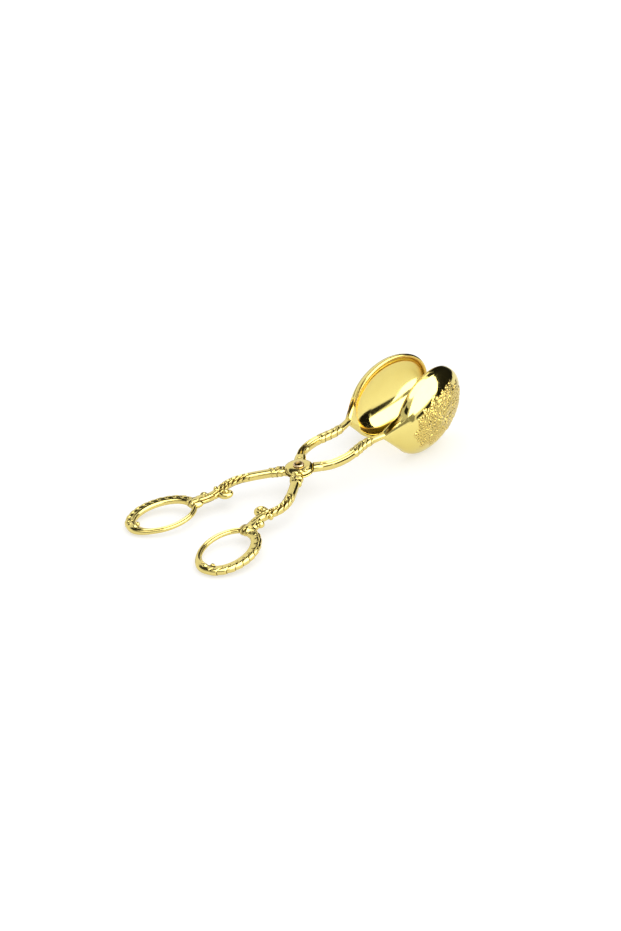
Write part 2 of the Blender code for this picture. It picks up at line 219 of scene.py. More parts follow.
def make_gold(name, roughness, light, cloudy, hollow=GOLD_PAINTED_SHADE, shade=1.1):
    """Polished plate, duller and with painted shade and reflection in its recesses and its own
    shade.
    """
    material, tree, shader = new_material(name)
    place = add_node(tree, "ShaderNodeTexCoord", {}, {}, out="Object")
    cloud = add_node(tree, "ShaderNodeTexNoise", {},
                     {"Vector": place, "Scale": CLOUD_SCALE, "Detail": 3.0})
    colour = mix_colours(tree, cloud * 0.35, light, cloudy)
    dull = cloud * 0.08 + (roughness - 0.04)
    # How much painted shade and painted reflection each point gets, read from the mesh.
    deep = add_node(tree, "ShaderNodeAttribute", {"attribute_name": "painted_light"}, {}, out="Fac")
    if shade:
        # Painted shade from ambient occlusion, where the piece's own forms shade it.
        open_sky = add_node(tree, "ShaderNodeAmbientOcclusion", {"samples": 8, "only_local": True},
                            {"Distance": SHADE_REACH}, out="AO")
        deep = (deep + (0.9 - open_sky) * shade).math("MAXIMUM", 0.0)
    # From 1 to 2 the colour turns to painted black shade and reflection.
    painted_black_share = (deep - 1.0).math("MAXIMUM", 0.0).math("MINIMUM", 1.0)
    deep = deep.math("MINIMUM", 1.0)
    colour = mix_colours(tree, painted_black_share, mix_colours(tree, deep, colour, hollow), BLACK_PAINTED_SHADE_AND_REFLECTION)
    dull = dull + deep * 0.18
    shader.inputs["Metallic"].default_value = 1.0
    tree.links.new(colour.socket, shader.inputs["Base Color"])
    tree.links.new(dull.socket, shader.inputs["Roughness"])
    return material


gold = make_gold("polished_gold", 0.08, GOLD, GOLD_DEEP, GOLD_PAINTED_REFLECTION_AND_SHADE, shade=0.0)
cast_gold = make_gold("chased_gold", 0.12, CAST_GOLD, CAST_GOLD_DEEP)
rose_gold = make_gold("rivet_brass", 0.2, RIVET_ROSE, RIVET_ROSE_DEEP)
print("made", gold.name, cast_gold.name, rose_gold.name)

# %% [markdown]
# ## The table
# The tongs lie on a white table that runs out of sight. If a white surface is lit until it looks
# white, the metal on it is lit too much. So the table is grey, and glows by itself just enough to
# look white to the camera and in the metal. The shadows of the tongs still fall on it.

# %% Lay the table
TABLE_WIDTH = 12.0
TABLE_GREY = 0.52
TABLE_SEEN = 0.52
TABLE_MIRRORED = 0.42
bpy.ops.object.select_all(action="DESELECT")
bpy.ops.mesh.primitive_plane_add(size=TABLE_WIDTH, location=(0.0, 0.0, 0.0))
table = bpy.context.object
table.name = "table"
table_material, tree, shader = new_material("white_table")
shader.inputs["Base Color"].default_value = (TABLE_GREY, TABLE_GREY, TABLE_GREY, 1.0)
shader.inputs["Roughness"].default_value = 0.7
shader.inputs["Specular IOR Level"].default_value = 0.2
glow = white_glow(tree, for_rays(tree, "Is Camera Ray") * TABLE_SEEN
                  + for_rays(tree, "Is Glossy Ray") * TABLE_MIRRORED)
both = add_node(tree, "ShaderNodeAddShader", {}, {0: Value(tree, shader.outputs[0]), 1: glow})
tree.links.new(both.socket, tree.nodes["Material Output"].inputs["Surface"])
table.data.materials.append(table_material)
print("the table is", TABLE_WIDTH, "m wide")

# %% [markdown]
# ## The room
# A product picture on white is lit softly from all round. A white world does that. It is a little
# stronger where the camera or the metal sees it, so that the background is white while the light on
# the tongs stays plain. One wide light from above, slightly from the back right, gives the shadows
# their faint lean to the left.

# %% Light the room
ROOM_LIGHT = 0.88
ROOM_SEEN = 1.0
ROOM_MIRRORED = 0.95
LAMP_DIRECTION = (0.35, -0.15, 1.0)
LAMP_SPREAD = math.radians(80.0)
LAMP_LIGHT = 0.55
world = bpy.data.worlds.new("white_room")
world.use_nodes = True
bpy.context.scene.world = world
tree = world.node_tree
strength = (for_rays(tree, "Is Camera Ray") * (ROOM_SEEN - ROOM_LIGHT)
            + for_rays(tree, "Is Glossy Ray") * (ROOM_MIRRORED - ROOM_LIGHT) + ROOM_LIGHT)
tree.links.new(strength.socket, tree.nodes["Background"].inputs["Strength"])
tree.nodes["Background"].inputs["Color"].default_value = WHITE
lamp = bpy.data.objects.new("overhead_light", bpy.data.lights.new("overhead_light", "SUN"))
bpy.context.scene.collection.objects.link(lamp)
lamp.data.angle = LAMP_SPREAD
lamp.data.energy = LAMP_LIGHT
lamp.rotation_euler = Vector(LAMP_DIRECTION).to_track_quat("Z", "Y").to_euler()
bpy.context.scene.view_settings.view_transform = "Standard"
print("the world gives", ROOM_LIGHT, "and the lamp", LAMP_LIGHT)

# %% [markdown]
# ## Cards for the metal
# Polished metal shows hardly anything but what it mirrors, so a photographer stands white and black
# cards round it. The same is done here. A card is a grid bent onto a ball round the tongs, or a
# flat square between four corners. Mirror rays alone see it, so the table keeps its plain light and
# the other views show no cards.

# %% Make a card
CARD_CUTS = 24


def studio_card(card, name, radiance):
    """Make a mesh glow evenly, and let mirror rays alone see it."""
    card.name = name
    material, tree, _ = new_material(name)
    glow = white_glow(tree, radiance)
    tree.links.new(glow.socket, tree.nodes["Material Output"].inputs["Surface"])
    card.data.materials.append(material)
    for ray in ("camera", "diffuse", "transmission", "volume_scatter", "shadow"):
        setattr(card, "visible_" + ray, False)


def curved_card(name, radiance, distance, corners):
    """A card bent round the tongs; its corners are compass turns and rises in degrees."""
    bpy.ops.object.select_all(action="DESELECT")
    bpy.ops.mesh.primitive_grid_add(x_subdivisions=CARD_CUTS, y_subdivisions=CARD_CUTS, size=1.0)
    card = bpy.context.object
    low_left, low_right, high_right, high_left = (np.radians(corner) for corner in corners)
    for vert in card.data.vertices:
        along, above = vert.co.x + 0.5, vert.co.y + 0.5
        turn, rise = ((low_left * (1 - along) + low_right * along) * (1 - above)
                      + (high_left * (1 - along) + high_right * along) * above)
        vert.co = Vector((math.cos(turn) * math.cos(rise), math.sin(turn) * math.cos(rise),
                          math.sin(rise))) * distance
    studio_card(card, name, radiance)


def flat_card(name, radiance, corners):
    """A flat card between four corners, in mm."""
    bpy.ops.object.select_all(action="DESELECT")
    bpy.ops.mesh.primitive_plane_add(size=1.0)
    card = bpy.context.object
    round_the_edge = (card.data.vertices[k] for k in (0, 1, 3, 2))
    for vert, corner in zip(round_the_edge, corners):
        vert.co = Vector(corner) * MM
    studio_card(card, name, radiance)


print("a curved card has", CARD_CUTS ** 2, "faces")

# %% [markdown]
# ## Where the cards hang
# The smooth bowls work like two round mirrors. Traced back from them, the studio has a broad soft
# light at the near right and a bright ceiling, a dark opening to the right, and a dark gap low
# along the far edge of the table. It is dim at the left, and dark patches hang high up from the
# right round the back to the left. The far bowl also mirrors the lit inside of the near one as a
# bright lens with a dark lower edge. Two small cards in the near bowl's hollow stand for that.

# %% Hang the cards
CURVED_CARDS = (  # name, brightness, distance in m, then turn and rise of the corners in degrees
    ("soft_light_card", 3.6, 1.5, ((-118, 15), (-8, 15), (-8, 70), (-118, 70))),
    ("dim_front", 0.3, 1.46, ((188, 0), (262, 0), (262, 14), (188, 14))),
    ("dark_opening", 0.01, 1.45, ((-54, 1), (34, 1), (34, 46), (-22, 46))),
    ("dim_left", 0.62, 1.48, ((150, 0), (238, 0), (238, 60), (150, 60))),
    ("dark_gap", 0.02, 1.44, ((34, 1), (100, 1), (100, 7), (34, 7))),
    ("dark_gap_right", 0.03, 1.42, ((-92, 1), (-50, 3), (-50, 14), (-92, 7))),
    ("top_light", 3.4, 1.49, ((-180, 67), (180, 67), (180, 89.9), (-180, 89.9))),
    ("dark_high_back", 0.03, 1.41, ((-12, 45), (27, 47), (27, 60), (-12, 60))),
    ("dark_high_far", 0.03, 1.43, ((46, 42), (100, 42), (100, 62), (46, 62))),
    ("dark_high_left", 0.03, 1.4, ((100, 38), (170, 44), (170, 60), (100, 60))),
    ("dark_flank", 0.02, 1.39, ((187, 38), (228, 24), (228, 40), (187, 54))),
)
FLAT_CARDS = (  # name, brightness, then the corners in mm, with the tongs as they lie on the table
    ("bright_hollow", 3.4,
     ((72, -24.5, 8.5), (104, -24.5, 17), (104.5, -24.5, 24), (72, -24.5, 27))),
    ("dark_hollow", 0.02,
     ((68, -25.4, 7.5), (100, -25.4, 17), (101, -25.4, 20), (66, -25.4, 16))),
)
for card_row in CURVED_CARDS:
    curved_card(*card_row)
for card_row in FLAT_CARDS:
    flat_card(*card_row)
print("hung", len(CURVED_CARDS), "cards round the tongs and", len(FLAT_CARDS), "in the near bowl")

# %% [markdown]
# ## A bowl is pressed from a flat blank
# A spoon bowl starts as a flat disc of sheet brass with the leaves and fruit struck into its back,
# and a press gives it depth. The same order works here, and one function says where each point of
# the flat blank goes in the finished bowl. The bowl is half an egg, a little deeper towards its
# neck, that stands on edge. It is turned in towards the other one, raised at its far end and leaned
# over. Towards the rim its back flares out to meet the bead.

# %% Sizes of the bowl, in mm on the drawing board
BOWL_NECK = Vector((69.9, 18.8, -6.4))
BOWL_LENGTH = 66.1
BOWL_HALF_WIDTH = 25.5
BOWL_DEPTH = 14.2
BOWL_DEEPEST = 28.0
BOWL_TOE_IN = math.radians(5.4)
BOWL_PITCH = math.radians(11.5)
BOWL_LEAN = math.radians(2.4)
BOWL_WALL = 1.2
BEAD_RADIUS = 1.3
RIM_FLARE = 0.6
FLARE_START = 0.86
FLARE_WIDTH = 0.14


def eased(value):
    """A smooth step from 0 to 1."""
    t = np.clip(value, 0.0, 1.0)
    return t * t * (3 - 2 * t)


def bowl_axes():
    """The far bowl's own axes: along it, up its width and out of its back."""
    out = Vector((math.sin(BOWL_TOE_IN), math.cos(BOWL_TOE_IN), 0.0))
    pitch = Matrix.Rotation(-BOWL_PITCH, 3, out)
    along = pitch @ Vector((math.cos(BOWL_TOE_IN), -math.sin(BOWL_TOE_IN), 0.0))
    lean = Matrix.Rotation(-BOWL_LEAN, 3, along)
    return along, lean @ pitch @ Vector((0.0, 0.0, 1.0)), lean @ out


BOWL_FRAME = [np.array(axis) for axis in bowl_axes()]


def bowl_places(angle, reach, spread, depth):
    """Where points of the far bowl lie; angle 0 is the neck's side, reach 1 is the rim."""
    along, up, out = BOWL_FRAME
    half = BOWL_LENGTH / 2
    middle = half + (BOWL_DEEPEST - half) * (1 - reach)
    length = middle - (half * reach + spread) * np.cos(angle)
    height = (BOWL_HALF_WIDTH * reach + spread) * np.sin(angle)
    return (np.array(BOWL_NECK) + length[:, None] * along + height[:, None] * up
            + depth[:, None] * out)


def pressed(flat, lift):
    """Press points of the flat blank into the bowl, each lifted off the wall's middle."""
    reach = np.minimum(np.hypot(flat[:, 0], flat[:, 1]), 1.0)
    angle = np.arctan2(flat[:, 1], -flat[:, 0])
    flare = RIM_FLARE * eased((reach - FLARE_START) / FLARE_WIDTH)
    lift = np.where(lift > 0, lift + flare, lift)
    steepness = np.arcsin(reach)
    lean_out = np.sin(steepness) / ((BOWL_LENGTH / 2 + BOWL_HALF_WIDTH) / 2)
    lean_back = np.cos(steepness) / BOWL_DEPTH
    size = np.hypot(lean_out, lean_back)
    return bowl_places(angle, reach, lift * lean_out / size,
                       BOWL_DEPTH * np.cos(steepness) + lift * lean_back / size)


half_egg = 2 / 3 * math.pi * BOWL_LENGTH / 2 * BOWL_HALF_WIDTH * BOWL_DEPTH
print("a bowl holds about", round(half_egg / 1000), "ml")

# %% [markdown]
# ## Reading and writing points
# Blender stores a mesh's points in one long list. Numpy reads and writes it in one go, which is
# what makes a relief of tens of thousands of points quick to press. From the points and their
# normals it is also quick to tell where a surface is hollow: there the neighbours of a point stand
# higher than it.

# %% Points in, points out
HOLLOW_SCALE = 3.0


def read_points(thing):
    """A mesh object's points as rows of x, y, z."""
    flat = np.empty(len(thing.data.vertices) * 3)
    thing.data.vertices.foreach_get("co", flat)
    return flat.reshape(-1, 3)


def read_normals(thing):
    """The outward directions at a mesh object's points."""
    flat = np.empty(len(thing.data.vertices) * 3)
    thing.data.vertex_normals.foreach_get("vector", flat)
    return flat.reshape(-1, 3)


def write_points(thing, points):
    """Give a mesh object new places for its points."""
    flat = np.ascontiguousarray(points, dtype=np.float32).ravel()
    thing.data.vertices.foreach_set("co", flat)
    thing.data.update()


def hollowness(thing):
    """How hollow the surface is at each point, 0 to 1, from the points next to it."""
    points, normals = read_points(thing), read_normals(thing)
    edges = np.empty(len(thing.data.edges) * 2, dtype=np.int64)
    thing.data.edges.foreach_get("vertices", edges)
    edges = edges.reshape(-1, 2)
    here, there = np.concatenate([edges, edges[:, ::-1]]).T
    steps = points[there] - points[here]
    bend = (steps * normals[here]).sum(1) / np.maximum(1e-6, (steps ** 2).sum(1))
    count = np.maximum(1, np.bincount(here, minlength=len(points)))
    hollow = np.bincount(here, bend, len(points)) / count
    for _ in range(2):
        hollow = (hollow + np.bincount(here, hollow[there], len(points)) / count) / 2
    return np.clip(hollow * HOLLOW_SCALE, 0.0, 1.0)


def note_painted_light(thing, values):
    """Keep the amount of painted shade and reflection for each point of the mesh, which the
    material reads.
    """
    layer = thing.data.attributes.new("painted_light", "FLOAT", "POINT")
    layer.data.foreach_set("value", values.astype(np.float32))


print("a CAD bowl has", len(read_points(frame["nodes"]["upper_bowl"])), "points")

# %% [markdown]
# ## Selecting and joining
# An operator works on everything that is selected, so each step first selects exactly what it is
# for. Shapes that are cast or brazed together on the real tongs are joined into one piece here.

# %% One thing at a time
def alone(thing):
    """Select one object only and make it active."""
    bpy.ops.object.select_all(action="DESELECT")
    thing.select_set(True)
    bpy.context.view_layer.objects.active = thing


def joined(name, things):
    """Join objects into one with a new name."""
    alone(things[0])
    for thing in things[1:]:
        thing.select_set(True)
    bpy.ops.object.join()
    things[0].name = name
    return things[0]


alone(table)
print("selected:", [thing.name for thing in bpy.context.selected_objects])

# %% [markdown]
# ## Leaves and fruit
# The back of each bowl carries a spray of leaves round two plums and a bunch of berries. Each is a
# height over the flat blank, in parts of the relief's full height. A leaf is a lobed shape that
# rises to its edge and is cut by a middle vein and side veins, and a fruit is a dome. The leaves
# spread from three rings round the middle, each turned and sized a little differently, as a carver
# would do it.

# %% Leaves and fruit as heights
RELIEF_MIDDLE = (34.5, 0.0)
LEAF_RINGS = (  # number, half length and half width of the ring, then leaf length and half width
    (25, 18.5, 8.8, 9.0, 3.5), (19, 13.0, 6.0, 8.0, 3.1), (12, 8.0, 3.4, 6.4, 2.8),
)
PLUMS = (  # x, y, half length, half width and turn in degrees
    (41.5, 2.8, 5.0, 4.2, 20.0), (32.5, -1.4, 4.6, 3.9, -25.0),
)
BERRY_RADIUS = 1.35
BERRIES = [(38.0 + 2.3 * i + 1.15 * (j % 2), -7.6 + 2.0 * j)
           for j in range(3) for i in range(4 - j % 2)]


def ring_leaves():
    """Where each leaf starts, its turn in degrees, its length and its half width."""
    leaves = []
    for number, long, wide, length, half in LEAF_RINGS:
        for k in range(number):
            angle = 2 * math.pi * (k + 0.5 * (number % 2)) / number
            vary = math.sin(k * 2.4 + number)
            leaves.append((RELIEF_MIDDLE[0] + long * math.cos(angle),
                           RELIEF_MIDDLE[1] + wide * math.sin(angle),
                           math.degrees(angle) + 16 * vary, length * (1 + 0.16 * vary), half))
    return leaves


LEAVES = ring_leaves()


def turned_to(x, y, centre_x, centre_y, degrees):
    """Distances along and across a shape that is moved to a centre and turned."""
    turn = math.radians(degrees)
    along = (x - centre_x) * math.cos(turn) + (y - centre_y) * math.sin(turn)
    across = (y - centre_y) * math.cos(turn) - (x - centre_x) * math.sin(turn)
    return along, across


def leaf_height(x, y, leaf):
    """One lobed leaf with veins; 0 outside it."""
    base_x, base_y, turn, length, half = leaf
    along, across = turned_to(x, y, base_x, base_y, turn)
    share = along / length
    inside = (share > 0) & (share < 1)
    share = np.clip(share, 0.0, 1.0)
    aside = np.abs(across) / half
    outline = half * np.sqrt(np.maximum(1e-6, share)) * (1 - share) ** 0.75 * 1.9
    lobes = 1 + 0.3 * np.cos(2 * math.pi * (share * 4.0 - aside * 0.5))
    edge = outline * lobes - np.abs(across)
    body = eased(edge / 0.9) * (0.55 + 0.35 * np.clip(aside, 0, 1))
    middle_vein = 0.32 * np.exp(-(across / 0.38) ** 2)
    stripe = (share * 8.0 - aside * 1.6) % 1.0 - 0.5
    side_veins = 0.2 * np.exp(-(stripe / 0.14) ** 2) * eased(np.abs(across) / 0.8)
    height = np.maximum(0.0, body - (middle_vein + side_veins) * eased(edge / 0.9))
    return np.where(inside & (edge > 0), height, 0.0)


def dome_height(x, y, centre_x, centre_y, half_long, half_wide, turn):
    """A fruit: half an egg."""
    along, across = turned_to(x, y, centre_x, centre_y, turn)
    return np.sqrt(np.clip(1 - (along / half_long) ** 2 - (across / half_wide) ** 2, 0.0, 1.0))


print(len(LEAVES), "leaves,", len(PLUMS), "plums and", len(BERRIES), "berries")

# %% [markdown]
# ## The whole relief
# The relief is built like clay: where leaves and fruit overlap, the highest one wins. The ground
# between them is matted with fine dots, as a chaser's punch leaves it. Only the part of the blank
# that carries the relief needs fine faces, so one function tells which part that is.

# %% The relief over the blank
RELIEF_HEIGHT = 0.62
PLUM_HEIGHT = 1.25
BERRY_HEIGHT = 1.05
MATTED_HALF_LENGTH = 26.0
MATTED_HALF_WIDTH = 16.0
FINE_MIDDLE = (35.0, 0.5)
FINE_HALF_LENGTH = 31.5
FINE_HALF_WIDTH = 20.5
FINE_MARGIN = 0.06


def blank_in_mm(flat):
    """Places on the blank in mm: along it from the neck, and across it from its middle."""
    return BOWL_LENGTH / 2 * (1 + flat[:, 0]), BOWL_HALF_WIDTH * flat[:, 1]


def relief(flat):
    """The relief's height over the blank, from 0 to a little over 1."""
    x, y = blank_in_mm(flat)
    height = np.zeros(len(flat))
    for leaf in LEAVES:
        height = np.maximum(height, leaf_height(x, y, leaf))
    for plum in PLUMS:
        height = np.maximum(height, PLUM_HEIGHT * dome_height(x, y, *plum))
    for berry in BERRIES:
        dome = dome_height(x, y, *berry, BERRY_RADIUS, BERRY_RADIUS, 0.0)
        height = np.maximum(height, BERRY_HEIGHT * dome)
    field = 1 - np.hypot((x - RELIEF_MIDDLE[0]) / MATTED_HALF_LENGTH,
                         (y - RELIEF_MIDDLE[1]) / MATTED_HALF_WIDTH)
    dots = np.sin(x * 3.9 + np.sin(y * 2.3) * 1.4) * np.sin(y * 4.3 + np.sin(x * 1.9) * 1.7)
    return height + 0.2 * dots * eased(field / 0.12)


def in_relief(flat):
    """Whether points of the blank lie where the relief is, or close to it."""
    x, y = blank_in_mm(flat)
    return np.hypot((x - FINE_MIDDLE[0]) / FINE_HALF_LENGTH,
                    (y - FINE_MIDDLE[1]) / FINE_HALF_WIDTH) < 1 + FINE_MARGIN


on_top_of_a_plum = np.array([[PLUMS[0][0] * 2 / BOWL_LENGTH - 1, PLUMS[0][1] / BOWL_HALF_WIDTH]])
print("a plum is", round(RELIEF_HEIGHT * relief(on_top_of_a_plum)[0], 2), "mm high")

# %% [markdown]
# ## Cutting a blank
# Inset is the tool that a flat disc wants: it draws the same outline again, a set distance further
# in. Going from the rim to the middle it lays down all the rings. The rings lie closer at the rim,
# because that is where the finished bowl is steepest. The faces under the relief are then
# subdivided.

# %% Make a flat blank
BLANK_SEGMENTS = 128
BLANK_RINGS = 36
QUARTER_TURN = math.pi / 2


def select_under_relief(disc):
    """Select the four-sided faces under the relief, and their edges."""
    centres = np.array([face.center for face in disc.data.polygons])
    sides = np.array([len(face.vertices) for face in disc.data.polygons])
    chosen = in_relief(centres) & (sides == 4)
    disc.data.polygons.foreach_set("select", chosen)
    edges = {key for face in disc.data.polygons if chosen[face.index] for key in face.edge_keys}
    for edge in disc.data.edges:
        edge.select = edge.key in edges
    for vert in disc.data.vertices:
        vert.select = False


def flat_blank(name, cuts):
    """A disc of radius 1 in rings, with the faces under the relief cut finer."""
    bpy.ops.object.select_all(action="DESELECT")
    bpy.ops.mesh.primitive_circle_add(vertices=BLANK_SEGMENTS, radius=1.0, fill_type="NGON")
    disc = bpy.context.object
    disc.name = name
    bpy.ops.object.mode_set(mode="EDIT")
    bpy.ops.mesh.select_all(action="SELECT")
    flat_side = math.cos(math.pi / BLANK_SEGMENTS)
    for i in range(BLANK_RINGS - 1, 0, -1):
        step = (math.sin(QUARTER_TURN * (i + 1) / BLANK_RINGS)
                - math.sin(QUARTER_TURN * i / BLANK_RINGS))
        bpy.ops.mesh.inset(thickness=step * flat_side, use_even_offset=True)
    bpy.ops.mesh.poke()
    bpy.ops.object.mode_set(mode="OBJECT")
    if cuts:
        select_under_relief(disc)
        bpy.ops.object.mode_set(mode="EDIT")
        bpy.ops.mesh.select_mode(type="FACE")
        bpy.ops.mesh.subdivide(number_cuts=cuts, smoothness=0.0)
        bpy.ops.object.mode_set(mode="OBJECT")
    return disc


print("a blank has", BLANK_RINGS, "rings of", BLANK_SEGMENTS, "faces before it is cut finer")

# %% [markdown]
# ## Pressing the shell and rolling the bead
# The shell is two pressed blanks: the back with its relief and the smooth inside, 1.2 mm apart.
# Their rims are bridged, which closes the wall. On the real bowl the edge is rolled into a round
# bead. A torus is that shape already, and its points only have to follow the rim instead of a
# circle.

# %% Shell and bead
RELIEF_CUTS = 3
TORUS_RADIUS = 10.0


def pressed_bowl(name):
    """The far bowl's shell: back with relief, smooth inside, bridged at the rim."""
    back = flat_blank("back", RELIEF_CUTS)
    flat = read_points(back)
    write_points(back, pressed(flat, BOWL_WALL / 2 + RELIEF_HEIGHT * relief(flat)))
    inside = flat_blank("inside", 0)
    flat = read_points(inside)
    write_points(inside, pressed(flat, np.full(len(flat), -BOWL_WALL / 2)))
    shell = joined(name, [back, inside])
    bpy.ops.object.mode_set(mode="EDIT")
    bpy.ops.mesh.select_mode(type="EDGE")
    bpy.ops.mesh.select_all(action="DESELECT")
    bpy.ops.mesh.select_non_manifold()
    bpy.ops.mesh.bridge_edge_loops()
    bpy.ops.mesh.select_all(action="SELECT")
    bpy.ops.mesh.normals_make_consistent(inside=False)
    bpy.ops.object.mode_set(mode="OBJECT")
    return shell


def rim_bead(name):
    """The round bead rolled along the bowl's rim."""
    bpy.ops.object.select_all(action="DESELECT")
    bpy.ops.mesh.primitive_torus_add(major_radius=TORUS_RADIUS, minor_radius=BEAD_RADIUS,
                                     major_segments=2 * BLANK_SEGMENTS, minor_segments=20)
    bead = bpy.context.object
    bead.name = name
    points = read_points(bead)
    angle = np.arctan2(points[:, 1], -points[:, 0])
    spread = np.hypot(points[:, 0], points[:, 1]) - TORUS_RADIUS
    write_points(bead, bowl_places(angle, np.ones(len(points)), spread, points[:, 2]))
    return bead


shell = pressed_bowl("shell")
bead = rim_bead("bead")
print("the shell has", len(shell.data.polygons), "faces and the bead", len(bead.data.polygons))

# %% [markdown]
# ## A sheet rolled into a bar
# Bars, wires and webs are all the same thing to make: a flat grid whose rows are laid along a line
# and whose columns are wrapped round it. Where the two edges of the sheet meet, the doubled points
# are merged, and where a row shrinks to one point, the end closes by itself.

# %% Roll a grid along a line
def rolled_sheet(name, rows, columns, place):
    """A grid whose points go where place(along, round) says, both from 0 to 1, then merged."""
    bpy.ops.object.select_all(action="DESELECT")
    bpy.ops.mesh.primitive_grid_add(x_subdivisions=rows, y_subdivisions=columns, size=1.0)
    sheet = bpy.context.object
    sheet.name = name
    flat = read_points(sheet)
    write_points(sheet, place(flat[:, 0] + 0.5, flat[:, 1] + 0.5))
    bpy.ops.object.mode_set(mode="EDIT")
    bpy.ops.mesh.select_all(action="SELECT")
    bpy.ops.mesh.remove_doubles(threshold=0.001)
    bpy.ops.mesh.normals_make_consistent(inside=False)
    bpy.ops.object.mode_set(mode="OBJECT")
    return sheet


def left_of(ahead):
    """Unit directions to the left of directions in the arms' plane."""
    ahead = ahead / np.hypot(*ahead.T)[:, None]
    return np.stack([-ahead[:, 1], ahead[:, 0]], -1)


def run_along(points):
    """How far each point is along the line through them all."""
    return np.concatenate([[0.0], np.cumsum(np.hypot(*np.diff(points, axis=0).T))])


print("a line over 3, 4 and back is", run_along(np.array([[0, 0], [3, 4], [0, 0]]))[-1], "long")

# %% [markdown]
# ## The heel
# A bowl is brazed to its arm by a heel that starts as round as the arm's tip and runs out on the
# bowl's back. Stretching a skin round both gives that form: a convex hull over the tip's circle and
# the part of the back beside the neck. Its long flat triangles would mirror like a cut gem, so they
# are subdivided and smoothed. The bowl must stay open, so its hollow is cut out of the skin again,
# together with the space in front of its mouth.

# %% Stretch the heel's skin
HEEL_START = np.array([60.6, 15.3, 0.0])
HEEL_RADIUS = 2.4
HEEL_LOW = math.radians(-58.0)
HEEL_HIGH = math.radians(40.0)
HEEL_REACH = 0.7
HEEL_SINK = 0.02
HEEL_CUTS = 3
HEEL_SMOOTHINGS = 6
ARM_RUN = np.array([0.965, 0.262, 0.0])
MOUTH_CLEARANCE = 12.0


def heel_points(along, turn):
    """The first rows are the tip's circle, the others lie on the back beside the neck."""
    outward = np.array([-ARM_RUN[1], ARM_RUN[0], 0.0])
    upright = np.array([0.0, 0.0, 1.0])
    ring = (np.cos(2 * math.pi * turn)[:, None] * outward
            + np.sin(2 * math.pi * turn)[:, None] * upright)
    across = (turn - 0.5) * math.pi
    angle = (HEEL_HIGH + HEEL_LOW) / 2 + (HEEL_HIGH - HEEL_LOW) / 2 * np.sin(across)
    edge = 1 - (1 - HEEL_REACH) * np.maximum(0.0, np.cos(across)) ** 1.5
    reach = edge + (1 - edge) * np.clip(along * 2 - 1, 0.0, 1.0)
    flat = np.stack([-reach * np.cos(angle), reach * np.sin(angle)], -1)
    seats = pressed(flat, BOWL_WALL / 2 + HEEL_SINK)
    return np.where((along < 0.5)[:, None], HEEL_START + HEEL_RADIUS * ring, seats)


def bowl_hollow(name):
    """The space inside the bowl and in front of its mouth, as a solid to cut with."""
    hollow = flat_blank(name, 0)
    flat = read_points(hollow)
    write_points(hollow, pressed(flat, np.zeros(len(flat))))
    alone(hollow)
    bpy.ops.object.mode_set(mode="EDIT")
    bpy.ops.mesh.select_mode(type="EDGE")
    bpy.ops.mesh.select_all(action="DESELECT")
    bpy.ops.mesh.select_non_manifold()
    out_of_the_mouth = -MOUTH_CLEARANCE * BOWL_FRAME[2]
    bpy.ops.mesh.extrude_region_move(TRANSFORM_OT_translate={"value": out_of_the_mouth})
    bpy.ops.mesh.edge_face_add()
    bpy.ops.mesh.select_all(action="SELECT")
    bpy.ops.mesh.normals_make_consistent(inside=False)
    bpy.ops.object.mode_set(mode="OBJECT")
    return hollow


def cut_out(thing, tool):
    """Cut a tool's solid out of an object; the tool goes."""
    alone(thing)
    boolean = thing.modifiers.new("cut", "BOOLEAN")
    boolean.solver = "EXACT"
    boolean.object = tool
    bpy.ops.object.modifier_apply(modifier=boolean.name)
    bpy.data.objects.remove(tool, do_unlink=True)


def brazed_heel(name):
    """The heel between the arm's tip and the far bowl."""
    skin = rolled_sheet(name, 36, 96, heel_points)
    bpy.ops.object.mode_set(mode="EDIT")
    bpy.ops.mesh.select_all(action="SELECT")
    bpy.ops.mesh.convex_hull()
    bpy.ops.mesh.subdivide(number_cuts=HEEL_CUTS, smoothness=0.0)
    bpy.ops.mesh.vertices_smooth(factor=0.5, repeat=HEEL_SMOOTHINGS)
    bpy.ops.mesh.normals_make_consistent(inside=False)
    bpy.ops.object.mode_set(mode="OBJECT")
    cut_out(skin, bowl_hollow("hollow"))
    return skin


heel = brazed_heel("heel")
print("the heel has", len(heel.data.polygons), "faces")

# %% [markdown]
# ## Where a bowl gets painted reflection and shade
# Where gold mirrors itself it looks orange and then dark, and on a bowl that is painted into the
# colour as painted reflection: in the groove inside the bead, on the crest of the bead on its upper
# half, on the steep inside at the low end and in the fold between the heel and the wall. Every
# hollow of the relief gets painted shade. Each is a soft band in the bowl's own measures: the reach
# from its middle, the angle from its neck, and the depth.

# %% Measure where a bowl gets painted reflection and shade
# The line of the fold beside the heel, where the painted black reflection goes.
FOLD_START = np.array([61.4, 17.8, 2.4])
FOLD_END = np.array([71.6, 19.3, 10.6])
GROOVE_REACH = 0.976
GROOVE_WIDTH = 0.045
# Strength of the painted reflection on the crest, the darkest painted mark, and the painted shade
# in the relief's hollows.
CREST_REFLECTION = 0.65
DARKEST = 2.0
RELIEF_SHADE = 2.2


def near_line(points, start, end):
    """How far points are from a straight line, and the share of the line where it is nearest."""
    line = end - start
    share = np.clip((points - start) @ line / (line @ line), 0.0, 1.0)
    return np.linalg.norm(points - start - share[:, None] * line, axis=1), share


def band(value, start, end, soft_start, soft_end):
    """1 between two values and 0 outside them, with soft ends."""
    return eased((value - start) / soft_start) * eased((end - value) / soft_end)


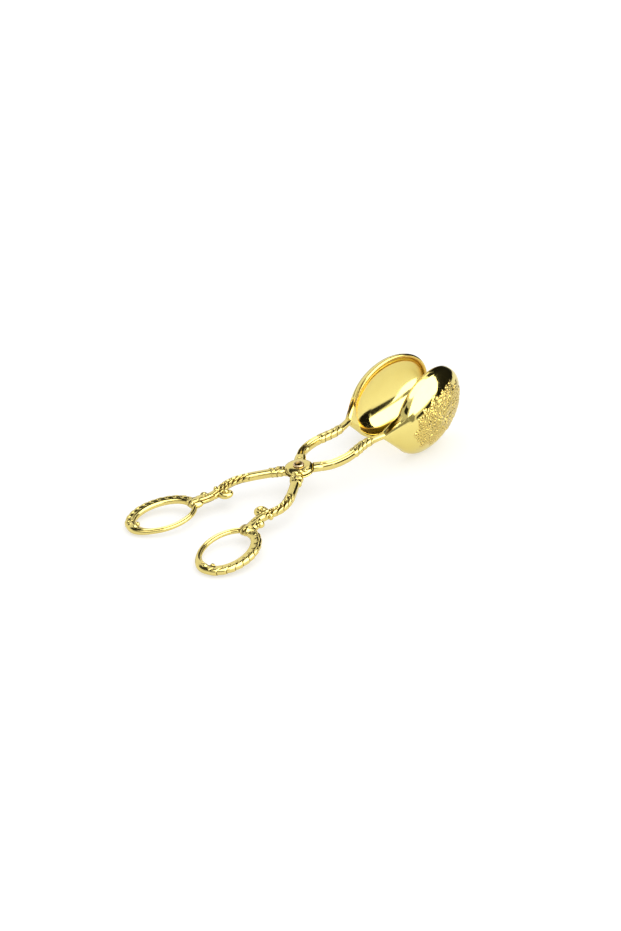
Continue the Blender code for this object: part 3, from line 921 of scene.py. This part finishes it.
def bowl_painted_light(thing):
    """How much painted reflection and shade the far bowl gets at each point, 0 to 2."""
    along, up, out = BOWL_FRAME
    points = read_points(thing)
    from_neck = points - np.array(BOWL_NECK)
    from_middle = (from_neck @ along - BOWL_LENGTH / 2) / (BOWL_LENGTH / 2)
    above = from_neck @ up / BOWL_HALF_WIDTH
    depth = from_neck @ out
    reach = np.hypot(from_middle, above)
    angle = np.degrees(np.arctan2(above, -from_middle))
    wall = BOWL_DEPTH * np.sqrt(np.clip(1 - reach ** 2, 0.0, 1.0))
    in_front = depth < wall
    # Painted orange reflection in the groove inside the bead and on the bead's crest.
    groove = np.exp(-((reach - GROOVE_REACH) / GROOVE_WIDTH) ** 2) * in_front
    groove *= depth > -BEAD_RADIUS
    crest_reflection = band(reach, 0.97, 1.035, 0.02, 0.02) * in_front * band(angle, 5, 125, 20, 20)
    # Painted dark reflection on the steep inside at the low end.
    low_end = band(angle, -105, -2, 25, 18)
    steep = eased((reach - 0.86) / 0.04) * (reach < 1) * in_front * (depth > 0.3)
    inside = (groove + CREST_REFLECTION * crest_reflection) * (1 - low_end) + DARKEST * low_end * steep
    # Painted black reflection in the fold beside the heel, where the hollow heel mirrors a dark
    # opening.
    away, share = near_line(points, FOLD_START, FOLD_END)
    fold_reflection = DARKEST * eased((0.7 + 5.6 * share * (1 - share) - away) / 0.5) * (reach > 0.7)
    # Painted shade in the hollows of the relief.
    hollow_shade = RELIEF_SHADE * hollowness(thing) * (depth > wall)
    return np.clip(np.maximum(inside, fold_reflection) + hollow_shade, 0.0, DARKEST)


fold_length = np.linalg.norm(FOLD_END - FOLD_START)
print("the dark fold beside the heel is", round(fold_length, 1), "mm long")

# %% [markdown]
# ## Laying a piece into the world
# A finished piece leaves the drawing board for its place on the table. The near bowl is the far one
# mirrored, which turns its faces inside out, so their direction is set again. Then the piece rides
# on the body that carries it, stands for its CAD node, which is hidden, and takes the material
# given.

# %% Finish a piece
SMOOTH_ANGLE = math.radians(50.0)


def finish_piece(thing, body, node, material, flip=False):
    """Lay a piece drawn on the board into the world, and let it stand for its CAD node."""
    matrix = board @ Matrix.Scale(MM, 4)
    if flip:
        matrix = matrix @ Matrix.Diagonal((1, -1, 1, 1))
    thing.data.transform(matrix)
    points = read_points(thing)
    points[:, 2] = np.maximum(points[:, 2], 0.0)
    write_points(thing, points)
    alone(thing)
    bpy.ops.object.mode_set(mode="EDIT")
    bpy.ops.mesh.select_all(action="SELECT")
    bpy.ops.mesh.normals_make_consistent(inside=False)
    bpy.ops.object.mode_set(mode="OBJECT")
    bpy.ops.object.shade_smooth_by_angle(angle=SMOOTH_ANGLE)
    thing.data.materials.clear()
    thing.data.materials.append(material)
    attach(thing, body)
    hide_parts(node)
    print(thing.name, "rides on", body, "with", len(thing.data.polygons), "faces")


def copied(thing, name):
    """A copy of an object with its own mesh."""
    copy = thing.copy()
    copy.data = thing.data.copy()
    copy.name = name
    bpy.context.scene.collection.objects.link(copy)
    return copy


print("faces meet smoothly up to", round(math.degrees(SMOOTH_ANGLE)), "degrees")

# %% [markdown]
# ## Two bowls
# Both bowls come from the same press, so the bowl is put together once and copied. The near bowl is
# kept out of the metal's reflections, and the two small cards in its hollow stand for it there,
# because they give the far bowl the clear bright lens that the photograph shows.

# %% Put the bowls together
far_bowl = joined("far_bowl", [shell, bead, heel])
note_painted_light(far_bowl, bowl_painted_light(far_bowl))
near_bowl = copied(far_bowl, "near_bowl")
finish_piece(far_bowl, "upper_half", "upper_bowl", gold)
finish_piece(near_bowl, "lower_half", "lower_bowl", gold, flip=True)
near_bowl.visible_glossy = False

# %% [markdown]
# ## The line of an arm
# Each arm is one casting, an S from its finger ring through the pivot to its bowl. It is drawn
# once, as the lower arm, on a smooth line through a few points; the upper arm is the same casting
# turned over. The ring is an oval with its own line, and the arm's line starts on it.

# %% Draw the arm's line
RING_CENTRE = np.array([-85.9, 28.7])
RING_HALF_LENGTH = 19.9
RING_HALF_WIDTH = 14.3
RING_TURN = math.radians(-14.0)
RING_NECK_ANGLE = math.radians(184.0)
ARM_KNOTS = [(-61.0, 22.9), (-54.5, 20.5), (-47.0, 21.0), (-39.0, 22.7), (-29.0, 20.2),
             (-15.0, 11.4), (0.0, 0.0), (10.0, -8.6), (17.0, -13.0), (27.0, -14.9),
             (36.0, -14.2), (45.0, -12.8), (54.0, -13.6), (62.0, -15.8)]
LINE_STEPS = 40


def on_ring(angle):
    """The ring's middle line, from its tip (angle 0) round its outer side to the neck (pi)."""
    along, across = -RING_HALF_LENGTH * np.cos(angle), RING_HALF_WIDTH * np.sin(angle)
    return RING_CENTRE + np.stack([along * math.cos(RING_TURN) - across * math.sin(RING_TURN),
                                   along * math.sin(RING_TURN) + across * math.cos(RING_TURN)], -1)


def smooth_line(knots, places):
    """Points on the smooth line through the knots; a whole number is a knot's own place."""
    knots = np.array(knots, float)
    last = len(knots) - 1
    first = np.clip(np.floor(places).astype(int), 0, last - 1)
    t = (places - first)[:, None]
    before, start, end, after = (knots[np.clip(first + k, 0, last)] for k in (-1, 0, 1, 2))
    return (start + (end - before) * (t / 2)
            + (before * 2 - start * 5 + end * 4 - after) * (t * t / 2)
            + (start * 3 - before - end * 3 + after) * (t * t * t / 2))


ring_neck = tuple(on_ring(np.array([RING_NECK_ANGLE]))[0])
line_knots = [ring_neck] + ARM_KNOTS
arm_line = smooth_line(line_knots, np.arange((len(line_knots) - 1) * LINE_STEPS + 1) / LINE_STEPS)
arm_run = run_along(arm_line)
arm_run -= arm_run[line_knots.index((0.0, 0.0)) * LINE_STEPS]
arm_aside = left_of(np.gradient(arm_line, axis=0))


def at_x(x):
    """How far along the arm a place is, from its x on the drawing board."""
    return float(np.interp(x, arm_line[:, 0], arm_run))


print("the arm runs from", round(arm_run[0], 1), "to", round(arm_run[-1], 1), "mm along its line")

# %% [markdown]
# ## Cast leaves
# The casting is carved with acanthus. Overlapping leaves are a saw-tooth in relief: each one rises
# slowly from under its neighbour and ends in a sharp lip. Slanting the teeth away from the middle
# turns them into the lobes of a long leaf with its rib between. The same teeth push the edge out,
# so the outline is scalloped as well. On the shank the leaves lie on one side only, with a deep cut
# between each two.

# %% Leaves as slanted teeth
LEAF_ZONES = (  # first x, last x, pitch, slant, lift, push of the left and the right edge, one side
    (-51.0, -25.0, 4.3, 2.1, 1.0, 0.2, 0.1, True),
    (-14.5, -8.0, 3.2, 1.6, 0.4, 0.5, 0.5, False),
    (32.0, 52.0, 4.6, 2.0, 0.7, 0.45, 0.45, False),
)
RIB_WIDTH = 0.16
CUT_WIDTH = 0.12
CUT_DEPTH = 0.7


def tooth(phase):
    """The height of a lobe over its length, 0 to 1: a slow rise and a sharp lip."""
    return phase ** 0.7 * eased((1 - phase) / 0.22)


def window(run, start, end, soft=1.5):
    """1 between two places along the line and 0 outside them, with soft ends."""
    return band(run, start, end, soft, soft)


def zone_leaves(zone, run, across, upright, half):
    """Relief and edge push of one zone of leaves."""
    first, last, pitch, slant, lift, left, right, one_side = zone
    facing = across * np.sign(upright)
    inside = window(run, at_x(first), at_x(last))
    phase = ((run + slant * np.abs(across * half)) / pitch) % 1.0
    teeth = tooth(phase)
    rib = np.exp(-(across / RIB_WIDTH) ** 2)
    leafy = eased((0.65 - facing) / 0.5) if one_side else 1.0
    lobes = leafy * teeth * (1 - rib) * (0.35 + 0.65 * np.abs(across))
    height = inside * lift * (lobes + 0.75 * rib)
    if one_side:
        cut = np.exp(-(np.minimum(phase, 1 - phase) / CUT_WIDTH) ** 2)
        height -= CUT_DEPTH * inside * cut * eased((0.6 - facing) / 0.3)
    return height, inside * np.where(facing > 0, left, right) * (teeth + 0.25) * across ** 2


print("half way along its length a lobe is", round(float(tooth(0.5)), 2), "high")

# %% [markdown]
# ## The arm's bar
# The bar has a flat top and rounded shoulders, as castings have that leave a two-part mould. It
# grows thinner towards the bowl, wider at the ring's neck and where the lapped disc begins, and has
# fine ridges between the disc and the bowl's leaves. It is rolled in two halves, because the disc
# takes the middle.

# %% Roll the bar
BAR_ROUNDNESS = (0.8, 0.6)
BAR_HALF = 2.9
BAR_FLATNESS = 0.8
BAR_COLUMNS = 56
TIP_THINNING = 0.6
NECK_WIDENING = 1.0
DISC_FLARE = 0.9
RIDGE_HEIGHT = 0.45


def squarish(turn, across, upright):
    """Cosine and sine made fuller, so that a bar gets a flat top and rounded shoulders."""
    wave = np.stack([np.cos(2 * math.pi * turn), np.sin(2 * math.pi * turn)])
    return np.sign(wave) * np.abs(wave) ** np.stack(np.broadcast_arrays(across, upright, turn)[:2])


def arm_shape(run, across, upright):
    """Half width, half height, relief and edge push of the bar at places along and round it."""
    half = (BAR_HALF - TIP_THINNING * eased((run - at_x(36)) / 28.0)
            + NECK_WIDENING * window(run, at_x(-66) - 9.0, at_x(-54.5), 6.0))
    half *= 0.5 + 0.5 * eased((run - arm_run[0] + 1.0) / 4.0)
    flare = DISC_FLARE * np.exp(-(np.maximum(0.0, np.abs(run) - 9.0) / 6.0) ** 2)
    relief_height = np.zeros(len(run))
    push = np.zeros(len(run))
    for zone in LEAF_ZONES:
        zone_height, zone_push = zone_leaves(zone, run, across, upright, half)
        relief_height += zone_height
        push += zone_push
    ridges = window(run, at_x(10), at_x(33)) * RIDGE_HEIGHT * (np.cos(across * 9.5) - 0.3)
    high = BAR_FLATNESS * np.minimum(half, BAR_HALF)
    return half + flare, high, relief_height + ridges, push


def arm_bar(name, first, last, rows):
    """A part of the bar between two places along the arm; its ends are closed."""
    def place(along, turn):
        run = first + (last - first) * np.clip((along * rows - 1) / (rows - 2), 0.0, 1.0)
        centre = np.stack([np.interp(run, arm_run, column) for column in arm_line.T], -1)
        aside = np.stack([np.interp(run, arm_run, column) for column in arm_aside.T], -1)
        across, upright = squarish(turn, *BAR_ROUNDNESS)
        half, high, lift, push = arm_shape(run, across, upright)
        end = (along * rows < 0.5) | (along * rows > rows - 0.5)
        side = np.where(end, 0.0, (half + 0.25 * lift + push) * across)
        up = np.where(end, 0.0, (high + lift) * upright)
        return np.column_stack([centre + aside * side[:, None], up])

    return rolled_sheet(name, rows, BAR_COLUMNS, place)


bars = [arm_bar("ring_side", arm_run[0], -5.0, 300), arm_bar("bowl_side", 5.0, at_x(61.5), 220)]
print("the two bars have", sum(len(bar.data.polygons) for bar in bars), "faces")

# %% [markdown]
# ## The finger ring
# The ring is plain wire with a shallow groove on the finger's side and flares into a leafy band on
# its outer half, where lobes overlap and a punch has set a dot between each two. Angles are counted
# from the ring's tip to its neck, in degrees.

# %% Roll the ring
RING_PITCH = 4.6
RING_SLANT = 3.4
WIRE_HALF = 1.7
WIRE_HIGH = 1.6
WIRE_GROOVE = 0.55
DOT_DEPTH = 0.6
BAND_WIDENING = 1.3
LOBE_PUSH = 0.6
LOBE_LIFT = 0.4
RING_STEPS = 721


def ring_band(name):
    """The finger ring: grooved wire on the inner half, overlapping leaves on the outer half."""
    steps = np.linspace(0.0, 2 * math.pi, RING_STEPS)
    runs = run_along(on_ring(steps))

    def place(along, turn):
        angle = 2 * math.pi * along
        aside = left_of(on_ring(angle + 0.01) - on_ring(angle - 0.01))
        signed = np.degrees((angle + math.pi) % (2 * math.pi) - math.pi)
        leafy = band(signed, -62, 180, 55, 16)
        carved = eased((signed - 2) / 12)
        side, upright = squarish(turn, 1 - 0.25 * leafy, 1 - 0.45 * leafy)
        phase = ((np.interp(angle, steps, runs) + RING_SLANT * side) / RING_PITCH) % 1.0
        teeth = tooth(phase)
        groove = (1 - leafy) * np.exp(-((side * np.sign(upright) - 0.35) / 0.28) ** 2)
        dots = carved * np.exp(-((side - 0.3) / 0.16) ** 2
                               - (np.minimum(phase, 1 - phase) / 0.14) ** 2)
        lobe_edge = LOBE_PUSH * carved * teeth * np.clip(side, 0, 1) ** 2
        lobe_face = LOBE_LIFT * carved * teeth * eased((side + 0.1) / 0.4)
        half = WIRE_HALF + leafy * (BAND_WIDENING + lobe_edge)
        high = (WIRE_HIGH + leafy * (0.2 + lobe_face)
                - (WIRE_GROOVE * groove + DOT_DEPTH * dots))
        out = on_ring(angle) + aside * (half * side + 0.1 * leafy)[:, None]
        return np.column_stack([out, high * upright])

    return rolled_sheet(name, 480, 48, place)


hole = [2 * (half - WIRE_HALF) for half in (RING_HALF_LENGTH, RING_HALF_WIDTH)]
print("the ring's hole is up to", round(hole[0]), "by", round(hole[1]), "mm wide")

# %% [markdown]
# ## Scrolls, curls and knobs
# Where a stem of leaves starts or ends, the carver rolls it up: a C-scroll under the shank, a curl
# at the ring's neck and a cluster of knobs at the ring's tip. A scroll is a bar along a spiral that
# closes on a round eye, with a thin web behind it; a curl is a small flattened ball.

# %% Roll up the stems
SCROLL_KNOT = 3
SCROLL_OFFSET = 5.6
SCROLL_REACH = (5.0, 1.4)
SCROLL_TURNS = 0.95
SCROLL_FLATNESS = 1.05
KNOBS = (  # x, y, radius and half height, and some with how far they sit below the arms' plane
    (-65.0, 23.2, 5.3, 2.7), (-56.6, 24.9, 2.6, 2.3),
    (-104.9, 31.4, 2.5, 2.5), (-105.0, 35.6, 1.9, 2.0), (-103.2, 39.2, 1.8, 1.9),
    (-101.4, 33.6, 1.5, 1.9), (-8.6, 9.6, 1.9, 2.5), (-10.6, 5.4, 1.7, 2.4),
    (-12.4, 12.6, 1.6, 2.2), (-47.4, 24.2, 1.7, 2.2), (-1.6, 7.3, 1.5, 0.9, -2.4),
    (-4.1, 5.8, 1.5, 0.9, -2.5), (-6.9, 4.6, 1.5, 0.9, -2.4),
)


def round_bar(name, points, radii, flatness):
    """A bar in the arms' plane along the points, with its own radius at each of them."""
    aside = left_of(np.gradient(points, axis=0))
    steps = np.arange(len(points), dtype=float)

    def place(along, turn):
        at = along * (len(points) - 1)
        radius = np.interp(at, steps, radii)
        x, y, aside_x, aside_y = (np.interp(at, steps, column) for column in (*points.T, *aside.T))
        side = radius * np.cos(2 * math.pi * turn)
        return np.stack([x + aside_x * side, y + aside_y * side,
                         flatness * radius * np.sin(2 * math.pi * turn)], -1)

    return rolled_sheet(name, 3 * len(points), 20, place)


def knob(name, x, y, radius, height, z=0.0):
    """A flattened ball."""
    bpy.ops.object.select_all(action="DESELECT")
    bpy.ops.mesh.primitive_uv_sphere_add(segments=32, ring_count=16, radius=radius)
    thing = bpy.context.object
    thing.name = name
    points = read_points(thing)
    points[:, 2] *= height / radius
    write_points(thing, points + np.array([x, y, z]))
    return thing


def scroll(name):
    """The C-scroll that curls from the shank's end towards the other arm."""
    outward = arm_aside[SCROLL_KNOT * LINE_STEPS]
    middle = arm_line[SCROLL_KNOT * LINE_STEPS] - outward * SCROLL_OFFSET
    share = np.linspace(0.0, 1.0, 60)
    angle = math.atan2(outward[1], outward[0]) + share * SCROLL_TURNS * 2 * math.pi
    reach = SCROLL_REACH[0] ** (1 - share) * SCROLL_REACH[1] ** share
    points = middle + np.stack([np.cos(angle), np.sin(angle)], -1) * reach[:, None]
    radii = 1.9 - 0.6 * share
    radii[[0, -1]] = 0.0
    return [round_bar(name, points, radii, SCROLL_FLATNESS),
            knob("scroll_eye", *points[-1], 1.9, 2.1), knob("scroll_web", *middle, 3.8, 0.9)]


print(len(KNOBS), "curls and knobs on each arm")

# %% [markdown]
# ## The lapped disc and the rivet
# At the pivot each arm is halved: a round plate lies against the washer, and the bars on both sides
# of it keep clear of the other arm. The plate's outer face is gently domed, with a hole for the
# rivet. The rivet is a tube whose two ends are rolled over. Both are round, so each is a closed
# profile turned about the pivot's axis, as on a lathe.

# %% Profiles for the lathe
BORE = 2.3
LAP_FACE = -0.5
UNDERSIDE = -2.8
DISC_PROFILE = [(BORE, LAP_FACE), (5.0, LAP_FACE), (8.8, LAP_FACE), (9.1, -0.6), (9.2, -0.85),
                (9.1, -1.25), (8.8, -1.65), (8.3, -2.0), (7.6, -2.3), (6.8, -2.52), (5.8, -2.68),
                (4.8, -2.77), (4.0, UNDERSIDE), (BORE, UNDERSIDE)]
RIVET_PROFILE = [(1.2, -2.0), (1.2, 2.9), (1.3, 3.25), (1.6, 3.45), (1.95, 3.62), (2.3, 3.85),
                 (2.65, 3.98), (3.0, 3.95), (3.3, 3.75), (3.42, 3.45), (3.4, 3.12), (2.0, 3.1),
                 (2.0, -3.9), (3.4, -3.9), (3.42, -4.2), (3.2, -4.6), (2.8, -4.78), (2.3, -4.7),
                 (1.8, -4.4), (1.3, -4.1)]


def turned(name, profile, steps):
    """A closed profile of (radius, height) turned about the pivot's axis."""
    profile = np.array(profile + profile[:1], float)
    marks = np.linspace(0.0, 1.0, len(profile))

    def place(along, turn):
        radius, height = (np.interp(turn, marks, column) for column in profile.T)
        angle = 2 * math.pi * along
        return np.stack([radius * np.cos(angle), radius * np.sin(angle), height], -1)

    return rolled_sheet(name, steps, len(profile) - 1, place)


rivet_heights = [height for _, height in RIVET_PROFILE]
print("the rivet is", round(max(rivet_heights) - min(rivet_heights), 2), "mm long")

# %% [markdown]
# ## Chasing the lines
# Last come the chaser's lines: stems, eyes and the dark seams between leaves. They are drawn as
# polylines on the board and pressed into both faces. How deep each point went is kept with the
# mesh, so that the material can paint shade into the recesses and make them duller.

# %% Draw the lines and press them in
LINES = (  # width, depth and the points of the line
    (0.55, 0.5, ((-71.0, 23.6), (-67.6, 24.2))),
    (0.5, 0.45, ((-69.5, 20.6), (-67.0, 21.6))),
    (0.4, 0.35, ((-65.2, 25.0), (-64.4, 25.9), (-63.5, 25.1))),
    (0.6, 0.55, ((-66.5, 20.9), (-63.0, 20.2), (-58.5, 18.4), (-54.0, 17.9))),
    (0.45, 0.45, ((-59.6, 26.0), (-58.4, 24.9), (-56.8, 25.6))),
    (0.45, 0.5, ((-59.6, 21.6), (-56.4, 21.2))),
    (0.6, 0.6, ((-53.5, 18.6), (-49.8, 18.9), (-46.0, 18.7), (-41.0, 19.8), (-36.0, 19.9),
                (-30.0, 18.0))),
    (0.45, 0.4, ((-49.5, 22.4), (-46.0, 23.6), (-43.2, 22.4), (-45.6, 21.6))),
    (0.5, 0.45, ((-41.5, 24.6), (-37.0, 24.4), (-33.0, 23.2))),
    (0.4, 0.35, ((-9.8, 1.6), (-8.6, -1.6), (-7.0, -4.4))),
    (0.4, 0.35, ((6.2, -6.6), (7.6, -5.4))),
    (0.5, 0.5, ((-11.6, 8.2), (-8.8, 6.6), (-6.8, 8.4))),
    (0.5, 0.5, ((-13.6, 10.6), (-11.4, 9.6), (-9.6, 11.6))),
    (0.45, 0.4, ((-104.4, 28.2), (-102.6, 30.6), (-103.4, 33.4))),
    (0.5, 0.5, ((-103.6, 33.4), (-102.4, 36.8))),
    (0.4, 0.4, ((-101.6, 32.8), (-100.6, 33.6), (-101.4, 34.4))),
)


def line_depth(points, line, width):
    """How much of a line's groove reaches each point, 0 to 1."""
    corners = np.array(line)
    nearest = np.min([near_line(points, start, end)[0]
                      for start, end in zip(corners, corners[1:])], axis=0)
    return np.exp(-(nearest / width) ** 2)


def chase(thing):
    """Press the lines into both faces, and give how deep each point went, in mm."""
    points, normals = read_points(thing), read_normals(thing)
    radius = np.hypot(points[:, 0], points[:, 1])
    faces_out = eased((np.abs(normals[:, 2]) - 0.15) / 0.25) * eased((radius - 4.0) / 1.0)
    depth = np.zeros(len(points))
    for width, deep, line in LINES:
        depth = np.maximum(depth, deep * line_depth(points[:, :2], line, width))
    depth *= faces_out
    write_points(thing, points - normals * depth[:, None])
    return depth


print(len(LINES), "lines are chased into each face")

# %% [markdown]
# ## One casting, used twice
# The bars are flattened where the other arm passes, and everything that is cast together is joined.
# The second arm comes out of the same mould and is only turned over, half a turn about the tongs'
# long axis, so it is a copy with its own mesh. Chased lines and hollows both get painted shade.

# %% Put the arms together
CLEAR_RADIUS = 9.5
PLATE_RADIUS = 9.2
DISC_STEPS = 96
# How strongly chased lines and hollows get painted shade, and its most.
CHASED_SHADE = 2.8
CAST_HOLLOW_SHADE = 2.2
CAST_DARKEST_SHADE = 1.4


def halve(thing):
    """Flatten a bar where the other arm's plate passes, and under its own plate."""
    points = read_points(thing)
    radius = np.hypot(points[:, 0], points[:, 1])
    height = points[:, 2]
    height = np.where(radius < CLEAR_RADIUS, np.minimum(height, LAP_FACE), height)
    points[:, 2] = np.where(radius < PLATE_RADIUS, np.maximum(height, UNDERSIDE), height)
    write_points(thing, points)


for bar in bars:
    halve(bar)
knobs = [knob(f"knob_{k}", *numbers) for k, numbers in enumerate(KNOBS)]
ring = ring_band("ring")
scroll_parts = scroll("scroll")
disc = turned("disc", DISC_PROFILE, DISC_STEPS)
lower_casting = joined("lower_casting", bars + [ring] + scroll_parts + knobs + [disc])
# Painted shade in the chased lines and in the casting's hollows.
painted_light = CHASED_SHADE * chase(lower_casting) + CAST_HOLLOW_SHADE * hollowness(lower_casting)
note_painted_light(lower_casting, np.clip(painted_light, 0.0, CAST_DARKEST_SHADE))
upper_casting = copied(lower_casting, "upper_casting")
upper_casting.data.transform(Matrix.Rotation(math.pi, 4, "X"))
finish_piece(lower_casting, "lower_half", "lower_arm", cast_gold)
finish_piece(upper_casting, "upper_half", "upper_arm", cast_gold)

# %% [markdown]
# ## The rivet
# The tube of the rivet is left in its own warmer colour, and its bore gets painted shade. It
# belongs to the lower half, and the upper arm turns round it.

# %% Set the rivet
RIVET_STEPS = 64
BORE_SHADOW = (3.0, 0.8)
rivet = turned("rivet", RIVET_PROFILE, RIVET_STEPS)
rivet_radius = np.hypot(*read_points(rivet).T[:2])
# Painted shade in the rivet's bore, strongest towards its middle.
note_painted_light(rivet, np.clip((BORE_SHADOW[0] - rivet_radius) / BORE_SHADOW[1], 0.0, 1.0))
finish_piece(rivet, "lower_half", "pivot_rivet", rose_gold)

# %% [markdown]
# ## The solids that stay
# The washer between the arms and the backing washer under the rivet's lower head are right as they
# are. They only get the polished gold, and so do the hidden solids.

# %% Dress the solids
for node in frame["nodes"].values():
    node.data.materials.clear()
    node.data.materials.append(gold)
print("dressed", len(frame["nodes"]), "solids")
